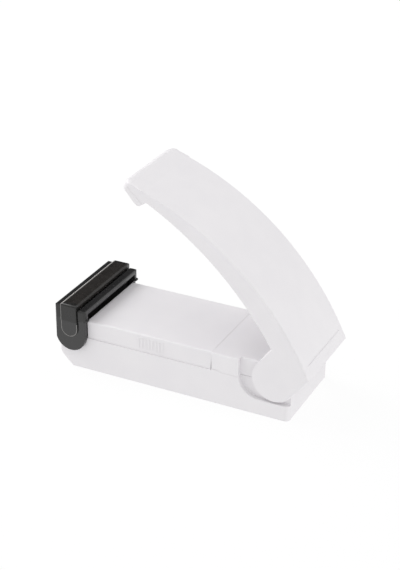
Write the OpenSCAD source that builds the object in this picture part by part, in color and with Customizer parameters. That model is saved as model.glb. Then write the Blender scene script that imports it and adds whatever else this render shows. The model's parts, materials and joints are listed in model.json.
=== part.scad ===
// Handheld bag sealer: a battery housing with a sealing head at its front and a sprung lever hinged at its rear.
// Millimetres. X runs from the head (-X) to the hinge (+X), Y across, Z up.
// The origin is the middle of the flat underside. The lever is drawn closed and then swung open to its rest place.

/* [Housing] */
// Length of the lower housing
body_len = 108; // [104:1:124]
// Width of the housing and of the lever
body_w = 41.4; // [39:0.1:48]
// Height of the battery cover and the rear cover
body_h = 23.6; // [23.2:0.1:26]
// Height of the covers above the parting line
split_h = 8.2; // [7.6:0.1:9]
// Wall thickness of the base and the rear cover
wall = 2; // [1.6:0.1:2.4]
// Floor thickness
floor_t = 2; // [1.6:0.1:2.6]
// Radius of the upright corners
corner_r = 2; // [1:0.1:3]
// Length of the slope under the nose
nose_run = 6.6; // [4:0.1:6.8]
// Height of the slope under the nose
nose_rise = 7; // [4:0.1:7.5]
// Rounding along the covers' top edges
edge_r = 0.7; // [0.4:0.1:1.4]
// Gap between neighbouring mouldings
seam = 0.08; // [0.06:0.01:0.2]

/* [Battery bay] */
// Diameter of an AA cell
cell_d = 14.5; // [13.8:0.1:14.7]
// Length of an AA cell with its nub
cell_len = 50.5; // [48:0.1:51]
// Gap between the two cells
cell_gap = 0.6; // [0.4:0.1:1.2]
// Height of the cells' axes
cell_h = 12.2; // [11.2:0.1:12.6]
// Diameter of a cell's nub
nub_d = 5.5; // [4.5:0.1:6]
// Length of a cell's nub
nub_len = 1; // [0.8:0.1:1.2]
// Thickness of the bulkheads at the ends of the bay
bulkhead_t = 1.4; // [1.1:0.1:1.5]
// Thickness of the sheet contacts
contact_t = 0.4; // [0.3:0.05:0.5]
// Width of a battery contact
contact_w = 8; // [6:0.1:9]
// Height of a battery contact's plate
contact_h = 10; // [8:0.1:10.5]
// Length of a battery spring under a fitted cell
spring_len = 3.5; // [3:0.1:4]
// Radius of a battery spring's widest turn
spring_wide = 4.8; // [4.2:0.1:5]
// Radius of a battery spring's narrowest turn
spring_narrow = 2; // [1.8:0.1:2.4]
// Wire diameter of the battery springs
cell_wire = 0.6; // [0.5:0.05:0.7]

/* [Battery cover] */
// Wall of the battery cover
cover_wall = 1.6; // [1.2:0.1:1.7]
// Step between the base's side and the cover's side
cover_step = 0.4; // [0.3:0.05:0.5]
// Slide that frees the cover's hooks
cover_travel = 2.7; // [2.6:0.1:3.1]
// Number of grip ribs on each side
grip_count = 8; // [4:1:10]
// Pitch of the grip ribs
grip_pitch = 1.6; // [1.3:0.1:1.8]
// Distance of the first grip rib from the cover's front edge
grip_start = 24.2; // [20:0.1:28]
// Length of the rear cover
rear_cover_len = 35; // [34:0.5:36]

/* [Hinge] */
// Distance of the hinge axis from the rear face
pivot_back = 6.5; // [6:0.1:7.5]
// Height of the rear cover's inside above the hinge axis
pivot_h = 3.4; // [3.3:0.1:3.8]
// Radius of the lever's round ears
ear_r = 9.8; // [9:0.1:10.5]
// Drop of the ears' centre below the hinge axis
ear_drop = 0.6; // [0:0.1:0.8]
// Thickness of the ears and of the lever's side walls
ear_t = 2; // [1.8:0.1:2.4]
// Side gap between an ear and its recess
ear_gap = 0.3; // [0.25:0.05:0.5]
// Length of the ear recess from the rear face
recess_len = 22.6; // [19:0.1:23]
// Height of the ears above the ear recess's floor
recess_h = 0.9; // [0.6:0.1:1.4]
// Corner radius of the ear recess
recess_r = 9; // [5:0.5:10]
// Diameter of the hinge pin
pin_d = 3; // [2.4:0.1:3.2]
// Radial clearance where the pin turns
pin_fit = 0.05; // [0.02:0.01:0.09]
// Wire diameter of the torsion spring
torsion_wire = 0.8; // [0.6:0.05:0.8]
// Turns of the torsion spring
torsion_turns = 6; // [4:1:6]
// Reach of the torsion spring's fixed leg in front of the axis
fixed_leg = 13.5; // [12.5:0.1:14]
// Drop of the fixed leg's end below the coil
leg_drop = 2.4; // [2:0.1:2.8]
// Reach of the torsion spring's moving leg in front of the axis
moving_leg = 11.5; // [10.5:0.1:12.5]

/* [Lever] */
// Angle from closed to open
open_angle = 38; // [32:0.5:40]
// Set-back of the lever's tip from the front face
tip_back = 2.6; // [2:0.1:3.2]
// Height of the lever's outer curve at the tip, above the head's ribs
tip_h = 4.3; // [4.1:0.1:5]
// Height of the lever's outer curve at its tail, above the hinge axis
tail_h = 11.2; // [10.4:0.1:12.5]
// Rise of the outer curve above the line from tip to tail
lever_rise = 12.1; // [10.5:0.1:14]
// Thickness of the lever's web
web_t = 2; // [1.6:0.1:2.2]
// Depth of the side wall behind the jaw
skirt_front = 4.2; // [3.6:0.1:5]
// Depth of the side wall in front of the ears
skirt_rear = 10.3; // [9:0.1:11]
// Rise of the side wall's lower curve
skirt_rise = 5.3; // [4.5:0.1:6]
// Radius of the bead across the lever's tip
bead_r = 2.4; // [2:0.1:2.6]
// Length of the ramp behind the bead
bead_ramp = 6; // [4:0.5:7]
// Length of the jaw from the tip to its rounded heel
jaw_len = 11.5; // [11:0.1:12]
// Radius of the jaw's heel
heel_r = 1.8; // [1.4:0.1:2]
// Gap between the closed jaw's heel and the head's ribs
heel_gap = 0.5; // [0.4:0.05:0.8]
// Depth of the jaw block's visible lip
lip_t = 2.4; // [2:0.1:2.6]
// Corner radius of the lever's tip in plan
tip_r = 2.8; // [1:0.1:3.2]
// Rounding along the lever's long edges
lever_edge = 0.8; // [0.4:0.1:1]
// Distance of the fine groove from the tail edge
groove_back = 4.6; // [3:0.1:6]

/* [Sealing head] */
// Length of the head along X
head_len = 15; // [14.8:0.1:15.4]
// Thickness of the side lobes
lobe_t = 1.9; // [1.6:0.1:2.2]
// Height of the centre of the lobes' round ends
lobe_h = 16.1; // [15.5:0.1:17]
// Width of the side lobes
lobe_w = 14.3; // [13.6:0.1:14.8]
// Gap between the battery cover's top and the head's deck
deck_gap = 0.4; // [0.3:0.05:0.5]
// Thickness of the deck
deck_t = 1.2; // [1:0.1:1.3]
// Height of the front rib above the battery cover
rib_h = 6.4; // [6.2:0.1:7]
// Width of the front rib
front_rib_w = 2.9; // [2.4:0.1:3]
// Drop of the rear rib below the front rib
rear_drop = 1; // [0.6:0.1:1.2]
// Thickness of the overhanging rear rib
rear_rib_t = 1.7; // [1.2:0.1:2]
// Width of the heater bar with its tape
bar_w = 7.5; // [7.2:0.1:7.6]
// Gap beside the bar and its tongues
bar_gap = 0.4; // [0.3:0.05:0.45]
// Height of the raised bar above the ribs, and its travel
bar_travel = 1; // [0.8:0.05:1.2]
// Thickness of the bar between its top and its underside
bar_t = 3.55; // [3.4:0.05:3.6]
// Rounding along the bar's top
bar_r = 1; // [0.6:0.1:1.1]
// Height of the lower end of the bar's tongues
tongue_h = 16; // [15:0.1:17.5]
// Thickness of the bar's tongues
tongue_t = 0.9; // [0.6:0.05:0.95]

/* [Heater] */
// Thickness of the non-stick tape
tape_t = 0.25; // [0.15:0.05:0.3]
// Depth of the tape's folds beside the bar
tape_fold = 2; // [1.6:0.1:2.4]
// Width of the heating ribbon
ribbon_w = 2; // [1.5:0.1:3]
// Thickness of the heating ribbon
ribbon_t = 0.2; // [0.15:0.05:0.25]
// Thickness of the insulation strip
strip_t = 0.3; // [0.2:0.05:0.35]
// Width of the insulation strip
strip_w = 4.5; // [4:0.1:5]
// Width of the presser pad
pad_w = 5.2; // [4.4:0.1:5.4]
// Thickness of the presser pad
pad_t = 2.4; // [2:0.1:2.5]
// Gap between the closed pad and the pressed bar
pad_gap = 0.2; // [0.15:0.05:0.4]
// Wire diameter of the bar's springs
bar_wire = 0.4; // [0.3:0.05:0.45]
// Mean radius of the bar's springs
bar_spring_r = 1.3; // [1.1:0.05:1.4]
// Depth of the bar's spring pockets
bar_pocket = 1.6; // [1.4:0.1:1.7]
// Distance of the bar's springs from the housing's sides
bar_spring_in = 7; // [6:0.1:8]

/* [Screws] */
// Diameter of a screw's shank
screw_d = 2.2; // [2:0.1:2.4]
// Diameter of a screw's head
screw_head_d = 4.4; // [4:0.1:4.6]
// Length of a screw with its head
screw_len = 14; // [11:0.5:15]

/* [Hidden] */
$fn = 64;
eps = 0.01;
big = 400;

white = "WhiteSmoke";
black = "DimGray";
steel = "Silver";
brass = "Goldenrod";

// Main planes of the housing
front_x = -body_len / 2;
rear_x = body_len / 2;
half_w = body_w / 2;
split_z = body_h - split_h;
inner_half = half_w - wall;
part_x = rear_x - rear_cover_len;
recess_x = rear_x - recess_len;
recess_depth = ear_t + ear_gap;
cheek_half = half_w - recess_depth;
cheek_inner = cheek_half - wall;

// Hinge
pivot_x = rear_x - pivot_back;
pivot_z = body_h - wall - pivot_h;
ear_z = pivot_z - ear_drop;
recess_z = ear_z - ear_r - recess_h;
pin_r = pin_d / 2;
pin_half = half_w - ear_t / 2 + 0.15;
coil_r = pin_r + torsion_wire / 2 + 0.7;
coil_pitch = torsion_wire + 0.55;
coil_half = torsion_turns * coil_pitch / 2;

// Heights of the head
deck_z = body_h + deck_gap;
deck_top = deck_z + deck_t;
rib_z = body_h + rib_h;
rear_rib_z = rib_z - rear_drop;
rib_r = 0.7;
bar_z = rib_z + bar_travel;
bar_top = bar_z - tape_t;
bar_bottom = bar_top - bar_t;
groove_z = bar_top - ribbon_t - strip_t;

// Places along the head, from the front face
lobe_r = lobe_w / 2;
lobe_x = front_x + lobe_r;
lobe_in = half_w + 0.05;
lobe_out = lobe_in + lobe_t;
block_out = lobe_out + 0.45;
bar_front = front_x + front_rib_w + bar_gap;
bar_rear = bar_front + bar_w;
bar_x = (bar_front + bar_rear) / 2;
rear_rib_x = bar_rear + bar_gap;
head_rear = front_x + head_len;
tongue_in = lobe_out + 0.15;
tongue_out = tongue_in + tongue_t;
bar_end = lobe_in + 0.35;
end_r = 1.2;
cap_r = 1;
peg_z = tongue_h + 4;
peg_r = 1.1;
rear_wall_t = 1.1;
apron_t = 1;
cover_front = front_x + lobe_w + 0.12;
apron_rear = cover_front - cover_travel - 0.3;
tower_rear = apron_rear - apron_t - seam;

// Battery bay
bulkhead_front = head_rear + 0.2;
bay_front = bulkhead_front + bulkhead_t;
bay_rear = bay_front + 2 * contact_t + cell_len + spring_len;
cell_y = (cell_d + cell_gap) / 2;
arm_z = cell_h + cell_d / 2 - 0.95;
bulkhead_z = arm_z - 0.2;
bulkhead_half = half_w - cover_step - cover_wall - 2;
cradle_t = 2;
cradle_count = 3;

// Cover hooks, each with the lip that holds it
hook_len = cover_travel - 0.2;
hook_x = [bay_front + 8, part_x - 11.6];
lip_in = inner_half - 0.9;
lip_h = 1.3;
hook_leg_t = 0.9;
cover_half = half_w - cover_step;
cover_rear = part_x - seam;
cover_z = split_z + seam;

// Screws
boss_r = screw_head_d / 2 + 1.3;
boss_h = 5;
head_sink = 2.4;
post_r = 2.1;
front_screw = [front_x + 9.1, max(inner_half - 3, cell_y + contact_w / 2 + post_r + 0.6)];
rear_screw = [max(part_x, bay_rear + bulkhead_t + 0.2) + 7, inner_half - 5];
rim_rise = 0.6;

// Closed lever: an arc through two points with a given rise, as [centre x, centre z, radius]
function arc_through(p, q, rise) =
    let (
        d = q - p,
        c = norm(d),
        r = (c * c / 4 + rise * rise) / (2 * rise),
        n = [-d[1], d[0]] / c,
        m = (p + q) / 2 - n * (r - rise)
    ) [m[0], m[1], r];

function arc_z(arc, x) = arc[1] + sqrt(arc[2] * arc[2] - (x - arc[0]) * (x - arc[0]));

tip_x = front_x + tip_back;
tail_x = pivot_x + ear_r;
crown = arc_through([tip_x, rib_z + tip_h], [tail_x, pivot_z + tail_h], lever_rise);
heel_x = tip_x + jaw_len - heel_r;
heel_z = rib_z + heel_gap + heel_r;
bead_x = tip_x + bead_r;
bead_z = arc_z(crown, bead_x) - bead_r + 0.75;
skirt_x = heel_x + heel_r + 0.9;
skirt_end = pivot_x - ear_r;
skirt = arc_through(
    [skirt_x, arc_z(crown, skirt_x) - skirt_front],
    [skirt_end, arc_z(crown, skirt_end) - skirt_rear],
    skirt_rise
);

// Underside of the jaw: the line that touches the bead and the heel from below
jaw_d = norm([heel_x - bead_x, heel_z - bead_z]);
jaw_a = atan2(heel_z - bead_z, heel_x - bead_x) - acos((bead_r - heel_r) / jaw_d);
jaw_n = [cos(jaw_a), sin(jaw_a)];
jaw_p = [bead_x, bead_z] + bead_r * jaw_n;
jaw_q = [heel_x, heel_z] + heel_r * jaw_n;
jaw_t = (jaw_q - jaw_p) / norm(jaw_q - jaw_p);
lever_inner = half_w - ear_t;
pad_rear = bar_rear - 0.3;
pad_front = pad_rear - pad_w;
pad_half = lever_inner - 1.1;
pad_z = rib_z + pad_gap;

// A point of the closed lever, swung to the open rest place
function opened_point(x, z) =
    let (dx = x - pivot_x, dz = z - pivot_z)
    [
        pivot_x + dx * cos(open_angle) + dz * sin(open_angle),
        pivot_z - dx * sin(open_angle) + dz * cos(open_angle)
    ];

// Wires: tubes of six sides along a path, with every ring square to the path
sides = 6;
rings = 8;

function unit(v) = v / norm(v);
function tangent(path, i) = unit(path[min(i + 1, len(path) - 1)] - path[max(i - 1, 0)]);
function ring(path, i, r, axis) =
    let (
        t = tangent(path, i),
        u = unit(cross(axis, t)),
        v = cross(t, u)
    )
    [for (k = [0 : sides - 1]) path[i] + r * (cos(360 * k / sides) * u + sin(360 * k / sides) * v)];

module wire(path, r, axis) {
    n = len(path);
    points = [for (i = [0 : n - 1]) each ring(path, i, r, axis)];
    walls = [
        for (i = [0 : n - 2], k = [0 : sides - 1])
            let (a = i * sides + k, b = i * sides + (k + 1) % sides)
            each [[a, a + sides, b], [b, a + sides, b + sides]]
    ];
    first = [for (k = [1 : sides - 2]) [0, k, k + 1]];
    last = [for (k = [1 : sides - 2]) let (z = (n - 1) * sides) [z, z + k + 1, z + k]];
    polyhedron(points, concat(walls, first, last));
}

// Least gap of a wire to its own later turns
function least_gap(path, d) =
    min([
        for (i = [0 : len(path) - 1], j = [i + rings / 2 : 1 : len(path) - 1])
            norm(path[i] - path[j])
    ]) - d;

// Shared shapes
module along_y(y0, y1) {
    translate([0, y1, 0]) rotate([90, 0, 0]) linear_extrude(y1 - y0) children();
}

module along_x(x0, x1) {
    translate([x0, 0, 0]) rotate([90, 0, 90]) linear_extrude(x1 - x0) children();
}

module both_sides() {
    children();
    mirror([0, 1, 0]) children();
}

module box(low, high) {
    translate(low) cube(high - low);
}

module rounded_2d(low, high, r) {
    translate([low[0] + r, low[1]]) square([high[0] - low[0] - 2 * r, high[1] - low[1]]);
    translate([low[0], low[1] + r]) square([high[0] - low[0], high[1] - low[1] - 2 * r]);
    for (x = [low[0] + r, high[0] - r], y = [low[1] + r, high[1] - r]) translate([x, y]) circle(r);
}

// Channel section across Y with a rounded top, open below
module hood_2d(half, z0, z1, r) {
    translate([-half, z0]) square([2 * half, z1 - r - z0]);
    translate([r - half, z0]) square([2 * (half - r), z1 - z0]);
    for (y = [r - half, half - r]) translate([y, z1 - r]) circle(r);
}

// Ear recess seen from the side
module recess_2d() {
    translate([recess_x, recess_z + recess_r]) square([big, big]);
    translate([recess_x + recess_r, recess_z]) square([big, big]);
    translate([recess_x + recess_r, recess_z + recess_r]) circle(recess_r);
}

module screw_places() {
    for (p = [front_screw, rear_screw]) both_sides() translate([p[0], p[1], 0]) children();
}

// Base: floor, walls, nose tower, battery cradles, bulkheads and screw bosses
module base_outline_2d(top) {
    polygon([
        [front_x, nose_rise], [front_x + nose_run, 0], [rear_x, 0], [rear_x, top], [front_x, top]
    ]);
}

module base_cavity_2d() {
    polygon([
        [front_x + wall, big], [front_x + wall, nose_rise + wall / 2],
        [front_x + nose_run + wall / 2, floor_t], [rear_x - wall, floor_t], [rear_x - wall, big]
    ]);
}

module base_block() {
    intersection() {
        union() {
            along_y(-half_w, half_w) base_outline_2d(split_z);
            intersection() {
                along_y(-half_w, half_w) base_outline_2d(deck_z - seam);
                box([front_x, -half_w, 0], [tower_rear, half_w, big]);
            }
        }
        linear_extrude(big) rounded_2d([front_x, -half_w], [rear_x, half_w], corner_r);
    }
}

module base_hollow() {
    intersection() {
        along_y(-half_w, half_w) base_cavity_2d();
        union() {
            box([front_x, -inner_half, 0], [recess_x - wall, inner_half, big]);
            box([front_x, -cheek_inner, 0], [rear_x, cheek_inner, big]);
        }
    }
}

module battery_cradles() {
    step = (bay_rear - bay_front) / (cradle_count + 1);
    difference() {
        for (i = [1 : cradle_count])
            box([bay_front + i * step - cradle_t / 2, -inner_half - eps, floor_t - eps],
                [bay_front + i * step + cradle_t / 2, inner_half + eps, cell_h - 3]);
        both_sides() translate([bay_front, cell_y, cell_h]) rotate([0, 90, 0])
            cylinder(r = cell_d / 2 + 0.1, h = bay_rear - bay_front);
    }
}

module bulkheads() {
    for (x = [bulkhead_front, bay_rear]) {
        box([x, -inner_half - eps, floor_t - eps], [x + bulkhead_t, inner_half + eps, split_z]);
        box([x, -bulkhead_half, floor_t], [x + bulkhead_t, bulkhead_half, bulkhead_z]);
    }
}

module hook_lips() {
    for (x = hook_x)
        both_sides() box([x, lip_in, split_z - lip_h], [x + hook_len, inner_half + eps, split_z]);
}

// Raised end of the base's rim behind the battery cover, with a slope down to the parting line
module rim_end_2d(raise, reach) {
    polygon([
        [part_x - reach, raise - 1], [part_x + 4.4 + reach, raise - 1], [part_x + 4.4 + reach, raise],
        [part_x + 2.2 + reach, raise + rim_rise], [part_x - reach, raise + rim_rise]
    ]);
}

module base_shell() {
    leg = torsion_fixed_end();
    color(white) difference() {
        union() {
            difference() {
                base_block();
                base_hollow();
            }
            battery_cradles();
            bulkheads();
            hook_lips();
            both_sides() along_y(inner_half + 0.2, half_w) rim_end_2d(split_z, 0);
            intersection() {
                screw_places() cylinder(r = boss_r, h = boss_h);
                along_y(-half_w, half_w) base_outline_2d(split_z);
            }
            box([leg[0] - 1, coil_half - 1.5, floor_t - eps],
                [leg[0] + 1, coil_half + 1.5, leg[2] - torsion_wire / 2 - 0.1]);
        }
        both_sides() along_y(cheek_half, half_w + 1) recess_2d();
        screw_places() {
            translate([0, 0, -eps]) cylinder(r = screw_head_d / 2 + 0.2, h = head_sink);
            translate([0, 0, -eps]) cylinder(r = screw_d / 2 + 0.2, h = boss_h + 1);
        }
        pin_bore();
        both_sides() translate([lobe_x, half_w + 1, lobe_h - 3.5]) rotate([90, 0, 0])
            cylinder(r = 2.55, h = wall + 2);
    }
}

// Rear cover: hood over the hinge, narrowed between the ears, with bores for the pin and a slot for the spring
module pin_bore() {
    translate([pivot_x, half_w, pivot_z]) rotate([90, 0, 0]) cylinder(r = pin_r + pin_fit, h = body_w);
}

module rear_cover() {
    slot = [pivot_x - 2.2, pivot_x + coil_r + torsion_wire / 2 + 0.7];
    color(white) difference() {
        union() {
            difference() {
                intersection() {
                    union() {
                        along_x(part_x, recess_x) hood_2d(half_w, cover_z, body_h, edge_r);
                        along_x(recess_x - eps, rear_x) hood_2d(cheek_half, cover_z, body_h, edge_r);
                    }
                    linear_extrude(big) rounded_2d([part_x - big, -half_w], [rear_x, half_w], corner_r);
                }
                box([part_x - 1, -inner_half, 0], [recess_x - wall, inner_half, body_h - wall]);
                box([part_x - 1, -cheek_inner, 0], [rear_x - wall, cheek_inner, body_h - wall]);
            }
            both_sides() translate([rear_screw[0], rear_screw[1], boss_h + seam])
                cylinder(r = post_r, h = body_h - wall - boss_h - seam + eps);
        }
        pin_bore();
        box([slot[0], -coil_half - 1, body_h - wall - 1], [slot[1], 1 - coil_half, body_h + 1]);
        both_sides() {
            translate([rear_screw[0], rear_screw[1], 0]) cylinder(r = screw_d / 2 + 0.05, h = screw_len + 1);
            along_y(inner_half - eps, half_w + 1) rim_end_2d(cover_z, seam);
        }
    }
}

// Battery cover: open-ended hood that slides forward under the head, with hooks, rear tongues and grip ribs
module cover_hook(x) {
    leg_out = lip_in - 0.2;
    leg_in = leg_out - hook_leg_t;
    foot_z = split_z - lip_h - 0.3;
    box([x, leg_in, cover_z + 0.6], [x + hook_len, cover_half - cover_wall + eps, cover_z + 2]);
    box([x, leg_in, foot_z - 1.2], [x + hook_len, leg_out, cover_z + 2]);
    box([x, leg_in, foot_z - 1.2], [x + hook_len, inner_half - 0.3, foot_z]);
}

module grip_ribs() {
    rib_w = 0.7;
    first = cover_front + grip_start;
    for (i = [0 : grip_count - 1])
        box([first + i * grip_pitch, cover_half - eps, cover_z + 1.4],
            [first + i * grip_pitch + rib_w, cover_half + 0.2, body_h - edge_r - 1]);
}

// Tongue that reaches under the rear cover's roof
module cover_tongue() {
    low = body_h - wall - 0.9;
    y = [cell_y + 4, cell_y + 8];
    box([cover_rear - 3, y[0], low], [cover_rear - 0.2, y[1], body_h - cover_wall + eps]);
    box([cover_rear - 3, y[0], low], [cover_rear + cover_travel - 0.6, y[1], body_h - wall - 0.1]);
}

module battery_cover() {
    color(white) {
        difference() {
            along_x(cover_front, cover_rear) hood_2d(cover_half, cover_z, body_h, edge_r);
            box([cover_front - 1, cover_wall - cover_half, 0],
                [cover_rear + 1, cover_half - cover_wall, body_h - cover_wall]);
        }
        both_sides() {
            for (x = hook_x) cover_hook(x);
            grip_ribs();
            cover_tongue();
        }
    }
}

// Lever: all of it is drawn closed
module opened() {
    translate([pivot_x, 0, pivot_z]) rotate([0, open_angle, 0]) translate([-pivot_x, 0, -pivot_z]) children();
}

module arc_disc_2d(arc, inset) {
    translate([arc[0], arc[1]]) circle(arc[2] - inset, $fn = 256);
}

module lever_span_2d() {
    translate([tip_x, 0]) square([tail_x - tip_x, big]);
}

// Everything below a line along the jaw, raised above its underside
module below_jaw_2d(raise) {
    reach = 4 * jaw_len;
    p = jaw_p - raise * jaw_n;
    polygon([
        p - reach * jaw_t, p + reach * jaw_t, p + reach * (jaw_t + jaw_n), p + reach * (jaw_n - jaw_t)
    ]);
}

// Bead across the tip, with a ramp that runs out on the crown behind it
module bead_2d() {
    ramp_x = bead_x + bead_ramp;
    ramp_z = arc_z(crown, ramp_x);
    translate([bead_x, bead_z]) circle(bead_r);
    polygon([
        [bead_x, arc_z(crown, bead_x) - web_t / 2], [bead_x, bead_z + bead_r], [ramp_x, ramp_z],
        [ramp_x, ramp_z - web_t / 2]
    ]);
}

module jaw_2d() {
    bead_2d();
    translate([heel_x, heel_z]) circle(heel_r);
    polygon([
        jaw_p, jaw_q, [heel_x + heel_r, heel_z], [skirt_x, arc_z(skirt, skirt_x)],
        [skirt_x, arc_z(crown, skirt_x) - web_t / 2], [bead_x, arc_z(crown, bead_x)], [bead_x - bead_r, bead_z]
    ]);
}

module lever_plan() {
    linear_extrude(big) {
        rounded_2d([tip_x, -half_w], [(tip_x + tail_x) / 2, half_w], tip_r);
        translate([tip_x + tip_r, -half_w]) square([tail_x - tip_x - tip_r, body_w]);
    }
}

// Round the crown's centre: the lever's outer skin with rounded long edges
module crown_skin(raise) {
    r = crown[2] + raise;
    translate([crown[0], 0, crown[1]]) rotate([90, 0, 0]) rotate_extrude($fn = 256) {
        translate([0, -half_w]) square([r - lever_edge, body_w]);
        translate([0, lever_edge - half_w]) square([r, body_w - 2 * lever_edge]);
        for (y = [lever_edge - half_w, half_w - lever_edge]) translate([r - lever_edge, y]) circle(lever_edge);
    }
}

module lever_web_2d() {
    difference() {
        intersection() {
            arc_disc_2d(crown, -1);
            lever_span_2d();
        }
        arc_disc_2d(crown, web_t);
        below_jaw_2d(lip_t + seam);
    }
}

module lever_side_2d() {
    difference() {
        union() {
            difference() {
                intersection() {
                    arc_disc_2d(crown, -1);
                    lever_span_2d();
                }
                arc_disc_2d(skirt, 0);
            }
            jaw_2d();
        }
        below_jaw_2d(lip_t + seam);
    }
    translate([pivot_x, ear_z]) circle(ear_r);
    intersection() {
        arc_disc_2d(crown, -1);
        translate([pivot_x - ear_r, ear_z]) square([2 * ear_r, big]);
    }
}

module lever_shell() {
    socket_depth = ear_t / 2 + 0.2;
    groove = [0.5, 0.15];
    color(white) opened() difference() {
        intersection() {
            union() {
                intersection() {
                    union() {
                        along_y(-half_w, half_w) lever_web_2d();
                        both_sides() along_y(lever_inner, half_w) lever_side_2d();
                    }
                    crown_skin(0);
                }
                intersection() {
                    along_y(-half_w, half_w) difference() {
                        bead_2d();
                        below_jaw_2d(lip_t + seam);
                    }
                    crown_skin(0.8);
                }
            }
            lever_plan();
        }
        both_sides() translate([pivot_x, lever_inner + socket_depth, pivot_z]) rotate([90, 0, 0])
            cylinder(r = pin_r + 0.02, h = socket_depth + 1);
        along_y(4 - half_w, half_w - 4) intersection() {
            difference() {
                arc_disc_2d(crown, -1);
                arc_disc_2d(crown, groove[1]);
            }
            translate([tail_x - groove_back - groove[0], 0]) square([groove[0], big]);
        }
    }
}

// Jaw block: rounded lip under the tip, a key that fits up inside the lever, and a pocket for the pad
module jaw_block() {
    color(white) opened() difference() {
        intersection() {
            union() {
                along_y(-half_w, half_w) intersection() {
                    jaw_2d();
                    below_jaw_2d(lip_t);
                }
                along_y(seam - lever_inner, lever_inner - seam) intersection() {
                    arc_disc_2d(crown, web_t + seam);
                    translate([bead_x + bead_r + seam, heel_z]) square([heel_x - bead_x - bead_r, big]);
                }
            }
            lever_plan();
        }
        box([pad_front - 0.1, -pad_half - 0.1, 0], [pad_rear + 0.1, pad_half + 0.1, pad_z + pad_t]);
    }
}

module presser_pad() {
    chamfer = 0.5;
    color("Gainsboro") opened() along_y(-pad_half, pad_half) polygon([
        [pad_front + chamfer, pad_z], [pad_rear - chamfer, pad_z], [pad_rear, pad_z + chamfer],
        [pad_rear, pad_z + pad_t], [pad_front, pad_z + pad_t], [pad_front, pad_z + chamfer]
    ]);
}

module hinge_pin() {
    color(steel) translate([pivot_x, pin_half, pivot_z]) rotate([90, 0, 0]) cylinder(r = pin_r, h = 2 * pin_half);
}

// Torsion spring: coil on the pin, one leg up to the lever's web and one down to a rib in the base
function torsion_fixed_end() = [pivot_x - fixed_leg, coil_half, pivot_z - coil_r - leg_drop];

function torsion_path() =
    let (
        lever_x = pivot_x - moving_leg,
        tip = opened_point(lever_x, arc_z(crown, lever_x) - web_t - torsion_wire / 2 - 0.5),
        count = torsion_turns * rings + rings / 4
    )
    concat(
        [[tip[0], -coil_half, tip[1]]],
        [
            for (i = [0 : count])
                let (a = -360 * i / rings)
                [
                    pivot_x + coil_r * cos(a),
                    -coil_half + 2 * coil_half * i / count,
                    pivot_z + coil_r * sin(a)
                ]
        ],
        [torsion_fixed_end()]
    );

module torsion_spring() {
    path = torsion_path();
    echo(torsion_spring_gap = least_gap([for (i = [1 : len(path) - 2]) path[i]], torsion_wire));
    color(steel) wire(path, torsion_wire / 2, [0, 1, 0]);
}

// Head frame: side lobes, deck on screw posts, front rib and overhanging rear rib
module rib_2d(x0, x1, z0, z1, r) {
    translate([x0, z0]) square([x1 - x0, z1 - r - z0]);
    translate([x0 + r, z0]) square([x1 - x0 - 2 * r, z1 - z0]);
    for (x = [x0 + r, x1 - r]) translate([x, z1 - r]) circle(r);
}

module lobe_2d() {
    translate([lobe_x, lobe_h]) circle(lobe_r);
    translate([front_x, lobe_h]) square([lobe_w, deck_top - lobe_h]);
}

module head_plan(r) {
    linear_extrude(big) rounded_2d([front_x, -block_out], [head_rear, block_out], r);
}

// Rounded caps at both ends of a rib, proud of the lobes
module end_caps(x0, x1, top) {
    intersection() {
        both_sides() along_y(lobe_in, block_out) rib_2d(x0, x1, deck_z, top, rib_r);
        along_x(x0, x1) hood_2d(block_out, 0, top, cap_r);
    }
}

module head_frame() {
    peg_play = 0.2;
    apron_z = arm_z + contact_t + 0.5;
    color(black) difference() {
        union() {
            intersection() {
                union() {
                    both_sides() along_y(lobe_in, lobe_out) lobe_2d();
                    end_caps(front_x, front_x + front_rib_w, rib_z);
                    end_caps(rear_rib_x, head_rear, rear_rib_z);
                    along_y(-lobe_out, lobe_out) {
                        rib_2d(front_x, front_x + front_rib_w, deck_z, rib_z, rib_r);
                        rib_2d(rear_rib_x, head_rear, rear_rib_z - rear_rib_t, rear_rib_z, rib_r);
                        translate([rear_rib_x, deck_z]) square([rear_wall_t, rear_rib_z - deck_z - 0.5]);
                    }
                }
                head_plan(1.2);
            }
            box([front_x, -lobe_in, deck_z], [rear_rib_x + rear_wall_t, lobe_in, deck_top]);
            box([apron_rear - apron_t, -lobe_in - eps, apron_z], [apron_rear, lobe_in + eps, deck_top]);
            both_sides() {
                along_y(lobe_in, lobe_out) translate([head_rear - 1, deck_z]) square([1.7, 0.9]);
                translate([lobe_x, lobe_in + eps, lobe_h - 3.5]) rotate([90, 0, 0]) cylinder(r = 2.5, h = wall);
                translate([front_screw[0], front_screw[1], boss_h + seam])
                    cylinder(r = post_r, h = deck_z - boss_h - seam + eps);
            }
        }
        both_sides() {
            along_y(lobe_in - 1, lobe_out + 1) {
                for (z = [peg_z, peg_z - bar_travel - peg_play]) translate([bar_x, z]) circle(peg_r + peg_play);
                translate([bar_x - peg_r - peg_play, peg_z - bar_travel - peg_play])
                    square([2 * (peg_r + peg_play), bar_travel + peg_play]);
            }
            box([bar_front, cell_y - 1.8, deck_z - 1], [bar_front + 3.6, cell_y + 0.8, deck_top + 1]);
            translate([front_screw[0], front_screw[1], 0]) cylinder(r = screw_d / 2 + 0.05, h = screw_len + 1);
        }
    }
}

// Heater bar: slides between the ribs, with a tongue at each end whose peg runs in the lobe's slot
bar_spring_x = bar_x + 0.14 * bar_w;
bar_spring_y = half_w - bar_spring_in;
ribbon_half = half_w - 1;
terminal_x = [bar_front + 0.8, bar_front + 2.6];
rivet_r = 0.6;
rivet_head = 0.3;
rivet_depth = 1.4;

module bar_2d(inset) {
    rib_2d(bar_front + inset, bar_rear - inset, bar_bottom, bar_z - inset, bar_r - inset);
}

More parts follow.
